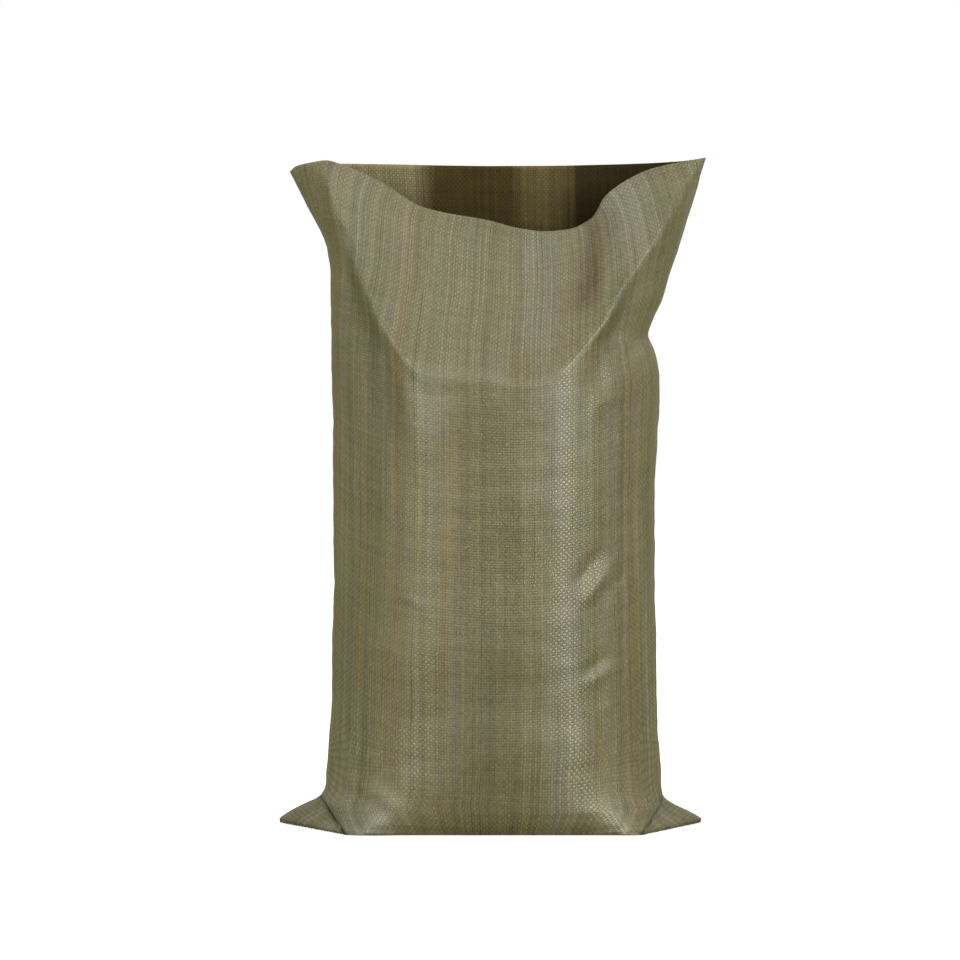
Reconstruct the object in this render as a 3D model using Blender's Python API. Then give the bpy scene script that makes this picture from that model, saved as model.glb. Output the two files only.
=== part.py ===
"""A woven polypropylene sack, 45 x 75 cm, standing open and filled with sand.

The fabric is a circular-woven tube. Its lower end is folded over and closed with one
straight row of chain stitch, so that the filled sack stands on its seam and the two
corners of the flat tube stick out at the floor as ears. Above the sand the tube is
slack: the front leans back over the sand as a flat face between two ridges and its rim
dips, the back stands up straight, and the side folds flare out to the mouth's corners.

Metres, +Z up. +X is to the right, -Y is the front. The origin is on the floor under
the middle of the base.
"""

from collections import namedtuple

import bmesh
import bpy
import numpy as np

MM = 0.001

# The fabric
WALL = 2.5 * MM  # a stand-in for the 0.2 mm fabric, so that the wall can be a solid
FLOOR_LAYERS = 3.0 * MM  # the folded and stitched bottom
FIT_GAP = 0.5 * MM  # between touching pieces
TIP_INSET = 8 * MM  # how far the wall's two sides merge in a corner of the mouth

# The sand
SAND_LEVEL = 430 * MM  # at the wall
SAND_MOUND = 16 * MM  # how much higher its middle is
MOUND_SHARES = (0.8, 0.55, 0.28)  # of the way from the middle to the wall, for its rings

# The bottom stitching
SEAM_Y = 18 * MM
STITCHED_MIDDLE = -3 * MM
STITCHED_HALF = 182 * MM
THREAD = 1.3 * MM
GROOVE_GAP = 0.4 * MM

# The front's flat face leans back from here to the rim.
LEAN_FROM_Z = 437 * MM
LEAN_FROM_Y = -121 * MM

# The ears: the flap between the ridge of the side fold and the floor, and the tuck
# where the body meets it
EAR_HEIGHT = 30 * MM
TUCK_TOP_X = 174 * MM
TUCK_FOOT_X = 144 * MM
FRONT_TUCK_FOOT_Y = -104 * MM
BACK_TUCK_FOOT_Y = 92 * MM
TUCK_MARGIN = 3 * MM  # the tuck stays this far inside the fold and the body
CAVITY_MARGIN = 6 * MM  # the cavity stays this far inside the ears' rings
BODY_MARGIN = 2 * MM  # and this far inside the body's first one

# Where the body's foot bulges beside the tucks: distance from the middle, width, height
FOOT_BULGES = [(-119 * MM, 22 * MM, 13 * MM), (126 * MM, 20 * MM, 9 * MM)]

PANEL_STEPS = 30  # edges across the front of each ring, and across the back
FLAP_STEPS = 4  # of these, the ones from each side fold to its tuck
TOP_FLAP = 8 * MM  # how far these reach just above the ears
CROWDING = 0.1  # how much closer together the other steps are beside the tucks
EVEN_FROM = 130 * MM  # the height from which all steps are even
FINE_STEPS = 200  # points on a section before the ring's own are chosen
SMOOTH_ANGLE = 50  # degrees; sharper edges stay sharp

# One level of the tube, in millimetres: the height, the side folds' distances from the
# middle and their depth, how far the front and back bulge from there, and the exponents
# of the section: a larger flatness makes a flatter panel, and a larger point a sharper
# fold at the side.
Level = namedtuple("Level", "height left right fold_y front back flatness point")

EAR_LEVELS = [
    Level(0, 214, 208, 18, 118, 74, 5.0, 0.40),
    Level(4, 216, 210, 18, 124, 82, 5.0, 0.40),
    Level(12, 205.5, 197.5, 17, 127, 90, 4.6, 0.40),
    Level(20, 190.5, 181, 15, 127, 95, 4.2, 0.41),
    Level(28, 174.5, 170.5, 13, 126, 98, 3.8, 0.42),
]
BODY_LEVELS = [
    Level(36, 168.5, 168, 12, 126, 101, 3.4, 0.44),
    Level(60, 166.5, 167.5, 10, 127, 105, 2.7, 0.46),
    Level(92, 164.5, 165.5, 9, 128, 108, 2.4, 0.45),
    Level(130, 162.5, 164.5, 8, 127, 110, 2.3, 0.44),
    Level(200, 160.5, 162, 5, 126, 113, 2.3, 0.44),
    Level(276, 160, 162, 3, 124, 116, 2.3, 0.44),
    Level(340, 159.5, 162, 2, 124, 117, 2.3, 0.44),
    Level(390, 160, 164, 2, 125, 115, 2.3, 0.44),
    Level(430, 161, 165.5, 2, 126, 112, 2.3, 0.44),
]
SLACK_LEVELS = [
    Level(446, 161, 165.5, 2, 127, 108, 2.3, 0.44),
    Level(460, 161.5, 163.5, 3, 128, 105, 2.3, 0.44),
    Level(476, 161.5, 159.5, 3, 128, 102, 2.3, 0.44),
    Level(491, 162, 154.5, 4, 127, 99, 2.3, 0.44),
    Level(508, 162, 160, 5, 125, 95, 2.3, 0.44),
    Level(524, 162.5, 168, 6, 122, 91, 2.3, 0.44),
    Level(548, 163, 176, 7, 117, 85, 2.3, 0.47),
    Level(572, 165.5, 184, 8, 114, 78, 2.3, 0.52),
    Level(588, 171, 189.5, 8, 114, 74, 2.25, 0.58),
    Level(612, 184, 197.5, 8, 116, 68, 2.1, 0.70),
    Level(636, 195, 205.5, 8, 118, 63, 2.0, 0.88),
    Level(660, 204, 213.5, 8, 118, 60, 2.0, 1.00),
]
TOP = SLACK_LEVELS[-1].height * MM

# The rim, in millimetres: its height, and for the front its depth, at distances from
# the middle. The front rim dips where the slack cloth falls in over the sand.
FRONT_RIM_X = [-204, -198, -186, -168, -146, -112, -73, -43, -4, 26, 51, 75, 95, 110, 130, 155, 182, 214]
FRONT_RIM_Z = [
    654, 659, 661.5, 663, 657, 642, 617, 608.5, 601.5, 594, 591, 593, 604, 626, 642, 655, 662.5, 668,
]
FRONT_RIM_Y = [8, 2, -7, -18, -21, -25, -29, -31, -33, -35, -36, -35, -31, -24, -18, -12, -4, 8]
BACK_RIM_X = [-204, -185, -150, -80, 0, 80, 150, 188, 214]
BACK_RIM_Z = [654, 661, 664.5, 665.5, 665, 665, 665, 665.5, 668]


def slackness(height):
    """0 up to the sand, and 1 at the rim."""
    return np.clip((height - LEAN_FROM_Z) / (TOP - LEAN_FROM_Z), 0, 1)


def ring_places(line, flaps=None, crowding=0.0):
    """The places on a line, counted in its points, of a panel's ring points.

    They are evenly spaced, or else the first and last few share the flaps' lengths, and
    the others can crowd towards them.
    """
    steps = np.linalg.norm(np.diff(line, axis=0), axis=1)
    along = np.concatenate([[0], np.cumsum(steps)])
    end = along[-1]
    if flaps is None:
        wanted = np.linspace(0, end, PANEL_STEPS + 1)
    else:
        left = np.linspace(0, flaps[0], FLAP_STEPS + 1)
        right = np.linspace(end - flaps[1], end, FLAP_STEPS + 1)
        share = np.linspace(0, 1, PANEL_STEPS - 2 * FLAP_STEPS + 1)
        share -= crowding * np.sin(2 * np.pi * share)
        middle = left[-1] + (right[0] - left[-1]) * share
        wanted = np.concatenate([left[:-1], middle, right[1:]])
    return np.interp(wanted, along, np.arange(len(line)))


def points_at(places, line):
    count = np.arange(len(line))
    return np.column_stack([np.interp(places, count, line[:, k]) for k in range(3)])


def leaning_face(x, z, rim_z, inset):
    """How far back the front's flat face is."""
    rim_y = np.interp(x / MM, FRONT_RIM_X, FRONT_RIM_Y) * MM
    share = (z - LEAN_FROM_Z) / (rim_z - LEAN_FROM_Z)
    return LEAN_FROM_Y + share * (rim_y - LEAN_FROM_Y) + inset


def panel_section(level, front, inset=0.0, tip_inset=0.0):
    """The front's or back's line at this level, from the left fold to the right one."""
    across = -np.cos(np.linspace(0, np.pi, FINE_STEPS))
    left = level.left * MM - tip_inset
    right = level.right * MM - tip_inset
    x = np.where(across < 0, across * left, across * right)
    bulge = (1 - np.abs(across) ** level.flatness) ** level.point

    rims = (FRONT_RIM_X, FRONT_RIM_Z) if front else (BACK_RIM_X, BACK_RIM_Z)
    rim_z = np.interp(x / MM, *rims) * MM
    height = level.height * MM
    z = np.full(len(x), height)
    z += slackness(height) * (rim_z - TOP)

    fold_y = level.fold_y * MM
    if not front:
        y = fold_y + (level.back * MM - inset) * bulge
        return np.column_stack([x, y, z])
    y = fold_y - (level.front * MM - inset) * bulge
    if height > LEAN_FROM_Z:
        y = np.maximum(y, leaning_face(x, z, rim_z, inset))
        y = np.minimum(y, fold_y)
    return np.column_stack([x, y, z])


def tuck_x_at(level, reach):
    """A tuck's distance from the middle, where the side fold's own is reach."""
    rise = level.height * MM / EAR_HEIGHT
    return min(TUCK_FOOT_X + (TUCK_TOP_X - TUCK_FOOT_X) * rise, reach * MM - TUCK_MARGIN)


def ear_section(level, front):
    """Near the floor a line runs straight from the fold into the tuck, then the body bulges."""
    rise = level.height * MM / EAR_HEIGHT
    fold_y = level.fold_y * MM
    foot_y = FRONT_TUCK_FOOT_Y if front else BACK_TUCK_FOOT_Y
    tuck_y = foot_y + (fold_y - foot_y) * rise
    if front:
        middle_y = min(fold_y - level.front * MM, tuck_y - TUCK_MARGIN)
    else:
        middle_y = max(fold_y + level.back * MM, tuck_y + TUCK_MARGIN)
    across = -np.cos(np.linspace(0, np.pi, FINE_STEPS))
    bulge = (1 - np.abs(across) ** level.flatness) ** level.point
    left, right = tuck_x_at(level, level.left), tuck_x_at(level, level.right)
    x = np.where(across < 0, across * left, across * right)
    y = tuck_y + (middle_y - tuck_y) * bulge
    if front:
        for place, width, height in FOOT_BULGES:
            y = y - height * (1 - rise) * np.exp(-(((x - place) / width) ** 2))
    body = np.column_stack([x, y])
    ends = np.array([[-level.left * MM, fold_y], [level.right * MM, fold_y]])
    line = np.vstack([ends[:1], body, ends[1:]])
    return np.column_stack([line, np.full(len(line), level.height * MM)])


def joined(front, back):
    """One ring of points, from the left fold along the front and back behind."""
    return np.vstack([front[:-1], back[::-1][:-1]])


def outer_half(level, front):
    """The front or back of an outer ring. A ring point follows each tuck up to the body."""
    height = level.height * MM
    if height < EAR_HEIGHT:
        line = ear_section(level, front)
        flaps = np.linalg.norm(line[1] - line[0]), np.linalg.norm(line[-1] - line[-2])
        return points_at(ring_places(line, flaps, CROWDING), line)
    line = panel_section(level, front)
    if height >= EVEN_FROM:
        return points_at(ring_places(line), line)
    rise = (height - EAR_HEIGHT) / (EVEN_FROM - EAR_HEIGHT)
    even = np.linalg.norm(np.diff(line, axis=0), axis=1).sum() * FLAP_STEPS / PANEL_STEPS
    flap = TOP_FLAP + (even - TOP_FLAP) * rise
    return points_at(ring_places(line, (flap, flap), CROWDING * (1 - rise)), line)


def outer_ring(level):
    return joined(outer_half(level, True), outer_half(level, False))


def inner_ring(level, inset):
    """The ring moved inwards. The wall's two sides merge towards the mouth's corners.

    Its points are at the same places for any inset, so that touching pieces stay parallel.
    """
    tip = inset + (TIP_INSET - inset) * slackness(level.height * MM)
    halves = []
    for front in (True, False):
        places = ring_places(panel_section(level, front))
        halves.append(points_at(places, panel_section(level, front, inset, tip)))
    return joined(*halves)


def inside_of(level):
    """The cavity's level: it leaves out the ears, which are two layers of fabric."""
    body = BODY_LEVELS[0]
    margin = CAVITY_MARGIN / MM
    between_tucks = tuck_x_at(level, min(level.left, level.right)) / MM - margin
    half = min(between_tucks, body.right - BODY_MARGIN / MM)
    return level._replace(
        left=half,
        right=half,
        front=level.front - margin,
        back=level.back - margin,
        flatness=body.flatness,
        point=body.point,
    )


def cavity_levels():
    """The levels of the inside, from the floor layers up to the rim."""
    lowest = inside_of(EAR_LEVELS[1])._replace(height=FLOOR_LAYERS / MM)
    return [lowest] + [inside_of(level) for level in EAR_LEVELS[2:]] + BODY_LEVELS


def add_ring(bm, points):
    return [bm.verts.new(point) for point in points]


def skin(bm, rings, inward=False):
    """Triangles between each ring and the next; rising rings face outwards.

    All skins are divided the same way, so that touching pieces stay parallel. Low down
    the diagonals run upwards from the side folds to the panels' middles, and higher up
    the other way, along the ridges.
    """
    around = len(rings[0])
    for low, high in zip(rings, rings[1:]):
        is_low = low[0].co.z + high[0].co.z < 2 * EVEN_FROM
        for i in range(around):
            j = (i + 1) % around
            is_first_half = i % PANEL_STEPS < PANEL_STEPS // 2
            if is_low == is_first_half:
                pair = [low[i], low[j], high[j]], [low[i], high[j], high[i]]
            else:
                pair = [low[i], low[j], high[i]], [low[j], high[j], high[i]]
            for corners in pair:
                bm.faces.new(corners[::-1] if inward else corners)


def cap(bm, ring, upward):
    bm.faces.new(ring if upward else ring[::-1])


def finish_object(name, bm, material):
    mesh = bpy.data.meshes.new(name)
    bm.to_mesh(mesh)
    bm.free()
    mesh.shade_smooth()
    mesh.set_sharp_from_angle(angle=np.radians(SMOOTH_ANGLE))
    mesh.materials.append(material)
    obj = bpy.data.objects.new(name, mesh)
    bpy.context.scene.collection.objects.link(obj)
    return obj


def make_material(name, colour, roughness):
    material = bpy.data.materials.new(name)
    material.use_nodes = True
    shader = material.node_tree.nodes["Principled BSDF"]
    shader.inputs["Base Color"].default_value = (*colour, 1)
    shader.inputs["Roughness"].default_value = roughness
    shader.inputs["Metallic"].default_value = 0
    material.diffuse_color = (*colour, 1)
    return material


def make_sack(material):
    bm = bmesh.new()
    outside = [add_ring(bm, outer_ring(level)) for level in EAR_LEVELS + BODY_LEVELS + SLACK_LEVELS]
    inside = [add_ring(bm, inner_ring(level, WALL)) for level in cavity_levels() + SLACK_LEVELS]
    skin(bm, outside)
    skin(bm, inside, inward=True)
    skin(bm, [outside[-1], inside[-1]])
    cap(bm, outside[0], upward=False)
    cap(bm, inside[0], upward=True)
    sack = finish_object("sack_fabric", bm, material)

    groove = sack.modifiers.new("Stitch groove", "BOOLEAN")
    groove.operation = "DIFFERENCE"
    groove.object = make_groove_cutter()
    return sack


def make_bar(name, half_length, width, low, high):
    """A straight bar along the seam."""
    bm = bmesh.new()
    bmesh.ops.create_cube(bm, size=1)
    size = (2 * half_length, width, high - low)
    bmesh.ops.scale(bm, vec=size, verts=bm.verts)
    mesh = bpy.data.meshes.new(name)
    bm.to_mesh(mesh)
    bm.free()
    bar = bpy.data.objects.new(name, mesh)
    bar.location = (STITCHED_MIDDLE, SEAM_Y, (low + high) / 2)
    bpy.context.scene.collection.objects.link(bar)
    return bar


def make_groove_cutter():
    """The stitches sink into the fabric, so the thread lies in a shallow groove."""
    width = THREAD + 2 * GROOVE_GAP
    below_floor = -width
    cutter = make_bar("groove_cutter", STITCHED_HALF + GROOVE_GAP, width, below_floor, width)
    cutter.hide_render = True
    cutter.display_type = "WIRE"
    return cutter


def make_stitching(material):
    top = GROOVE_GAP + THREAD
    stitching = make_bar("bottom_stitching", STITCHED_HALF, THREAD, GROOVE_GAP, top)
    stitching.data.materials.append(material)
    return stitching


def make_sand(material):
    """Sand that fills the cavity up to its level, with a low mound."""
    bm = bmesh.new()
    levels = cavity_levels()
    levels[0] = levels[0]._replace(height=(FLOOR_LAYERS + FIT_GAP) / MM)
    points = [inner_ring(level, WALL + FIT_GAP) for level in levels]
    rings = [add_ring(bm, ring) for ring in points]

    edge = points[-1]
    middle = edge.mean(axis=0)
    for share in MOUND_SHARES:
        ring = middle + (edge - middle) * share
        ring[:, 2] = SAND_LEVEL + SAND_MOUND * (1 - share**2)
        rings.append(add_ring(bm, ring))
    skin(bm, rings)
    cap(bm, rings[0], upward=False)
    cap(bm, rings[-1], upward=True)
    return finish_object("sand_fill", bm, material)


def clear_scene():
    for obj in list(bpy.data.objects):
        bpy.data.objects.remove(obj, do_unlink=True)


clear_scene()
make_sack(make_material("woven_polypropylene", (0.19, 0.17, 0.085), 0.45))
make_stitching(make_material("sewing_thread", (0.62, 0.60, 0.52), 0.7))
make_sand(make_material("sand", (0.42, 0.33, 0.22), 0.95))
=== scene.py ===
"""The looks of a woven polypropylene sack, 45 x 75 cm, standing open and filled with sand.

The cloth is a tube of its real size. It starts on the form that the sand and the hands
give it, and is then relaxed over that form until its warp and weft have their own
lengths again, so that the weave runs over folds and ears as it does on real cloth.
Folds and creases are added to it, and the weave itself is a material. Metres, +Z up,
-Y is the front.
"""

from collections import namedtuple

import bmesh
import bpy
import numpy as np
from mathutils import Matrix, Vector, noise
from mathutils.bvhtree import BVHTree


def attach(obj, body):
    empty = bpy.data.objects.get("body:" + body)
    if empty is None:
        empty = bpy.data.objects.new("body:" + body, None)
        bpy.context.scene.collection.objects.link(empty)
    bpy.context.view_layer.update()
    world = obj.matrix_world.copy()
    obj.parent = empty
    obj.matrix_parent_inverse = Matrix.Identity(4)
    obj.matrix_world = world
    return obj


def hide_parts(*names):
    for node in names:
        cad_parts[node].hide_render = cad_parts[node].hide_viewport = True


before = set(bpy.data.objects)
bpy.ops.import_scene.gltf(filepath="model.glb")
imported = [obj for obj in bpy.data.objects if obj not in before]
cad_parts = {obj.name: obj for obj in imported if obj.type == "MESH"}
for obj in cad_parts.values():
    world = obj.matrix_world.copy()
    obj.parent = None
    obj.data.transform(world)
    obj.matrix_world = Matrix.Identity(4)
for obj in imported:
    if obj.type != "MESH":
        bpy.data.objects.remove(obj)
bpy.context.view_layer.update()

MM = 0.001
TINY = 1e-9  # keeps a division from failing where a length is zero

# The flat sack
PANEL = 450 * MM  # the tube laid flat, so it is twice this around
CUT_LENGTH = 765 * MM
HEM = 25 * MM
TAPE = 2.5 * MM  # ten tapes an inch, both ways
CLOTH = 0.5 * MM  # thickness, with the crimp of the tapes

# The grid that the cloth is made of
PANEL_COLUMNS = 120  # across one panel
ROWS = 195
COARSE = 2  # the first relaxation uses every second column and row
FLAP_COLUMNS = 21  # on each ear's flap at the floor, fewer the nearer to its top

# How many lines the form has: under the base, beside the ears, on the body and above it
BASE_LINES = 14
EAR_LINES = 16
BODY_LINES = 60
SLACK_LINES = 50
SECTION_POINTS = 161
EAR_POINTS = 60

# The seam at the bottom, and the height of the edge around the base
SEAM_Y = 18 * MM
SEAM_Z = 2.6 * MM
FOOT_Z = 0.5 * MM

# How the cloth is relaxed: the passes, and after how many of them it is laid on its form
COARSE_PASSES, COARSE_LAID = 240, 12
FINE_PASSES, FINE_LAID = 60, 15
SHORTENING = 0.85  # how much of a warp thread's shortening is let be
SHEAR_STRENGTH = 0.15
SMOOTHED_COLUMNS = 13

# Where the cloth lies on the sand, the place where the front leaves it, and how far
# below the sand's top the crease there begins and has its full form
SAND_TOP = 437 * MM
FRONT_OF_SAND = -125 * MM
CREASE_SOFTNESS = 1.8 * MM
CREASE_BEGINS = 40 * MM
CREASE_FULL = 12 * MM
AT_FOLD = 0.999  # a place this far across a section is on the side fold

# How high this crease would be on a flat front, at distances from the middle, both in
# millimetres. The front panel leans back from there.
CREASE_X = [-160, -92, -74, -52, -14, 17, 49, 71, 94, 160]
CREASE_Z = [437, 438, 437, 442, 449, 437, 436, 443, 448, 448]

# The ears: the flap between the ridge of the fold and the floor, and the tuck in which
# the body bulges over it
EAR_HEIGHT = 30 * MM
TUCK_TOP_X = 174 * MM
TUCK_FOOT_X = 144 * MM
FRONT_TUCK_FOOT_Y = -104 * MM
BACK_TUCK_FOOT_Y = 92 * MM
TUCK_MARGIN = 3 * MM  # the tuck stays this far inside the fold and the body

# Where the body's foot bulges beside the tucks: distance from the middle, width, height
FOOT_BULGES = [(-119 * MM, 22 * MM, 4 * MM), (126 * MM, 20 * MM, 1.5 * MM)]

# The hem and its stitches, under the base
HEM_LEFT, HEM_RIGHT = -204 * MM, 199 * MM
HEM_THICKNESS = 1.1 * MM
HEM_SIDES = 24
HEM_STEPS = 200
HEM_Z = 1.6 * MM
STITCHED_LEFT, STITCHED_RIGHT = -185 * MM, 179 * MM
STITCH = 8 * MM
LOOP_WIDTH = 2.6 * MM
LOOP_REACH = 1.25  # each loop reaches this many stitches, into the next one
LOOP_POINTS = 22
THREAD = 0.65 * MM
THREAD_SIDES = 6
STITCH_Z = 0.55 * MM

# The sand: its edge, how much higher its middle is, how far inside the cloth it stays,
# and its foot, which is drawn in
SAND_EDGE = 430 * MM
SAND_MOUND = 16 * MM
SAND_INSET = 0.9 * MM
SAND_ABOVE_EARS = EAR_HEIGHT + 6 * MM
SAND_FOOT_Z = 7 * MM
SAND_FOOT_SHARE = 0.9
SAND_LINES = 60
SAND_RINGS = 70

# The camera, the floor and the room's light on each side
CAMERA_PLACE = (-13.5 * MM, -3.5, 345 * MM)
LENS = 131.25
FLOOR_SIZE = 60
FLOOR_Z = -0.2 * MM
FLOOR_COLOUR = (0.65, 0.65, 0.65, 1)
FRONT_LEFT_LIGHT = 0.02
FRONT_RIGHT_LIGHT = 1.00
BACK_LIGHT = 0.43
SKY_LIGHT = 1.35

# One level of the tube, in millimetres: the height, the side folds' distances from the
# middle and their depth, how far the front and back bulge from there, and the exponents
# of the section: a larger flatness makes a flatter panel, and a larger point a sharper
# fold at the side.
Level = namedtuple("Level", "height left right fold_y front back flatness point")

LEVELS = [
    Level(0, 214, 208, 18, 118, 74, 5.0, 0.40),
    Level(3, 216, 210, 18, 123, 81, 5.0, 0.40),
    Level(12, 205.5, 197.5, 17, 127, 90, 4.6, 0.40),
    Level(20, 190.5, 181, 15, 127, 95, 4.2, 0.41),
    Level(28, 174.5, 170.5, 13, 126, 98, 3.8, 0.42),
    Level(36, 168.5, 168, 12, 126, 101, 3.4, 0.44),
    Level(60, 166.5, 167.5, 10, 127, 105, 2.7, 0.46),
    Level(92, 164.5, 165.5, 9, 128, 108, 2.4, 0.45),
    Level(124, 162.5, 164.5, 8, 127, 110, 2.3, 0.44),
    Level(172, 161, 162.5, 6, 127, 112, 2.3, 0.44),
    Level(212, 160.5, 162, 5, 126, 113, 2.3, 0.44),
    Level(276, 160, 162, 3, 124, 116, 2.3, 0.44),
    Level(324, 159.5, 161.5, 2, 124, 117, 2.3, 0.44),
    Level(372, 160, 163.5, 2, 124, 116, 2.3, 0.44),
    Level(396, 160, 164, 2, 125, 115, 2.3, 0.44),
    Level(428, 161, 165.5, 2, 126, 112, 2.3, 0.44),
    Level(444, 161, 165.5, 2, 127, 108, 2.3, 0.44),
    Level(460, 161.5, 163.5, 3, 128, 105, 2.3, 0.44),
    Level(476, 161.5, 159.5, 3, 128, 102, 2.3, 0.44),
    Level(491, 162, 154.5, 4, 127, 99, 2.3, 0.44),
    Level(508, 162, 160, 5, 125, 95, 2.3, 0.44),
    Level(524, 162.5, 168, 6, 122, 91, 2.3, 0.44),
    Level(548, 163, 176, 7, 117, 85, 2.3, 0.47),
    Level(572, 165.5, 184, 8, 114, 78, 2.3, 0.52),
    Level(588, 171, 189.5, 8, 114, 74, 2.25, 0.58),
    Level(612, 184, 197.5, 8, 116, 68, 2.1, 0.70),
    Level(636, 195, 205.5, 8, 118, 63, 2.0, 0.88),
    Level(660, 204, 213.5, 8, 118, 60, 2.0, 1.00),
]

# The rim, in millimetres, seen from the front: how high it is at each distance from the
# middle. The front one dips where the slack cloth falls in over the sand.
FRONT_RIM_X = [
    -204, -198, -186, -168, -146, -112, -73, -43, -4, 26, 51, 75, 95, 110, 130, 155, 182,
    214,
]
FRONT_RIM_Z = [
    654, 659, 661.5, 663, 657, 642, 617, 608.5, 601.5, 594, 591, 593, 604, 626, 642, 655,
    662.5, 668,
]
FRONT_RIM_Y = [
    8, 2, -7, -18, -21, -25, -29, -31, -33, -35, -36, -35, -31, -24, -18, -12, -4, 8,
]
BACK_RIM_X = [-204, -185, -150, -80, 0, 80, 150, 188, 214]
BACK_RIM_Z = [654, 661, 664.5, 665.5, 665, 665, 665, 665.5, 668]

# Folds, seen from the front, in millimetres. Each one runs through its points; it stands
# out by its height, or in where that is negative. A skewed one has a ridge above it and
# a hollow below, a sharp one has a crest, and an open one starts at the rim at full height.
Fold = namedtuple("Fold", "height width points skewed sharp open", defaults=(False, False, False))

LEFT_RIDGE = [
    (-166, 660), (-160, 612), (-146, 580), (-127, 536), (-112, 496), (-92, 470), (-68, 448),
]
LEFT_CREST = [(-146, 580), (-130, 543), (-112, 500), (-90, 466), (-70, 446), (-56, 430)]
RIGHT_RIDGE = [
    (204, 660), (180, 612), (159, 580), (127, 536), (107, 496), (88, 471), (58, 446),
]
RIGHT_CREST = RIGHT_RIDGE[2:]
LEFT_SWELL = [(-62, 425), (-60, 350), (-52, 270), (-56, 200), (-66, 120), (-80, 36)]
RIGHT_SWELL = [(76, 425), (68, 340), (60, 260), (62, 180), (76, 90), (104, 24)]
FRONT_FOLDS = [
    Fold(2.6, 24, LEFT_SWELL),
    Fold(2.6, 24, RIGHT_SWELL),
    Fold(1.8, 5, LEFT_RIDGE, sharp=True, open=True),
    Fold(4.2, 5, LEFT_CREST, sharp=True),
    Fold(-3.2, 9, [(-142, 545), (-126, 505), (-110, 470), (-101, 438), (-96, 404)]),
    Fold(2.4, 5, RIGHT_CREST, sharp=True),
    Fold(2.4, 18, [(-86, 470), (-80, 440), (-72, 408), (-64, 360)]),
    Fold(3.0, 17, [(76, 462), (70, 436), (66, 400), (62, 350)]),
    Fold(2.6, 5, RIGHT_RIDGE, sharp=True, open=True),
    Fold(-3.0, 13, [(-154, 570), (-138, 520), (-126, 482), (-116, 452), (-108, 412)]),
    Fold(-4.5, 12, [(166, 572), (144, 534), (122, 496), (105, 462), (96, 430)]),
    Fold(-2.0, 8, [(160, 493), (142, 478), (118, 452)]),
    Fold(1.6, 8, [(92, 408), (108, 422), (128, 432)]),
    Fold(-4.5, 13, [(108, 606), (103, 575), (94, 543), (88, 517), (84, 490)], open=True),
    Fold(3.0, 5.5, [(82, 222), (98, 240), (116, 266)]),
    Fold(-2.6, 7, [(74, 240), (90, 258), (106, 280)]),
    Fold(-1.6, 7, [(100, 224), (116, 240), (132, 258)]),
    Fold(2.0, 5.5, [(84, 146), (102, 154), (120, 165)]),
    Fold(-1.9, 6, [(84, 158), (100, 166), (116, 176)]),
    Fold(0.9, 5, [(100, 120), (110, 123), (122, 130)]),
    Fold(1.0, 7, [(108, 196), (128, 200), (146, 208)], True),
    Fold(1.0, 7, [(116, 262), (130, 268), (146, 280)], True),
    Fold(0.9, 8, [(104, 300), (126, 306), (148, 318)], True),
    Fold(1.1, 4, [(-94, 231), (-80, 228), (-64, 221)]),
    Fold(1.9, 6, [(-152, 57), (-128, 46), (-108, 38), (-90, 27)]),
    Fold(-1.9, 6, [(-152, 45), (-138, 36), (-120, 28), (-102, 17)]),
    Fold(1.0, 6, [(-146, 78), (-128, 72), (-108, 66)]),
    Fold(0.8, 9, [(-140, 104), (-122, 108), (-100, 108)], True),
    Fold(0.8, 9, [(-132, 170), (-116, 174), (-96, 172)], True),
]
BACK_FOLDS = [
    Fold(7.0, 26, [(17, 664), (16, 610), (12, 540)], sharp=True, open=True),
    Fold(-5.0, 24, [(75, 664), (74, 600), (66, 540)], open=True),
    Fold(-5.0, 26, [(-68, 664), (-66, 600), (-60, 540)], open=True),
    Fold(4.0, 16, [(-29, 664), (-29, 620), (-27, 580)], sharp=True, open=True),
    Fold(4.0, 20, [(118, 664), (116, 610), (104, 550)], open=True),
]


def smooth_through(xs, ys, x):
    """A smooth curve through points, which doesn't overshoot between them."""
    xs, ys = np.asarray(xs, float), np.asarray(ys, float)
    slopes = np.diff(ys) / np.diff(xs)
    before, after = slopes[:-1], slopes[1:]
    mean = np.where(before * after > 0, 2 * before * after / (before + after + 1e-12), 0)
    tangents = np.concatenate([[slopes[0]], mean, [slopes[-1]]])
    x = np.clip(x, xs[0], xs[-1])
    i = np.clip(np.searchsorted(xs, x) - 1, 0, len(xs) - 2)
    step = xs[i + 1] - xs[i]
    t = (x - xs[i]) / step
    low = ys[i] * (1 + 2 * t) * (1 - t) ** 2 + tangents[i] * step * t * (1 - t) ** 2
    high = ys[i + 1] * t * t * (3 - 2 * t) - tangents[i + 1] * step * t * t * (1 - t)
    return low + high


def smooth_step(low, high, value):
    """0 below low and 1 above high, with a smooth rise between them."""
    share = np.clip((value - low) / (high - low), 0, 1)
    return share * share * (3 - 2 * share)


def level_at(height):
    """The level's sizes at any height, in metres."""
    heights = [level.height for level in LEVELS]
    columns = list(zip(*LEVELS))
    values = [smooth_through(heights, column, height / MM) for column in columns[1:]]
    scaled = [value * MM for value in values[:5]]
    return Level(height, *scaled, *values[5:])


def resampled(line, count):
    """The line as count points, evenly spaced along it."""
    steps = np.linalg.norm(np.diff(line, axis=0), axis=1)
    along = np.concatenate([[0], np.cumsum(steps)])
    wanted = np.linspace(0, along[-1], count)
    return np.column_stack([np.interp(wanted, along, line[:, k]) for k in range(line.shape[1])])


def line_length(line):
    """The length of a line of points."""
    return np.linalg.norm(np.diff(line, axis=0), axis=1).sum()


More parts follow.
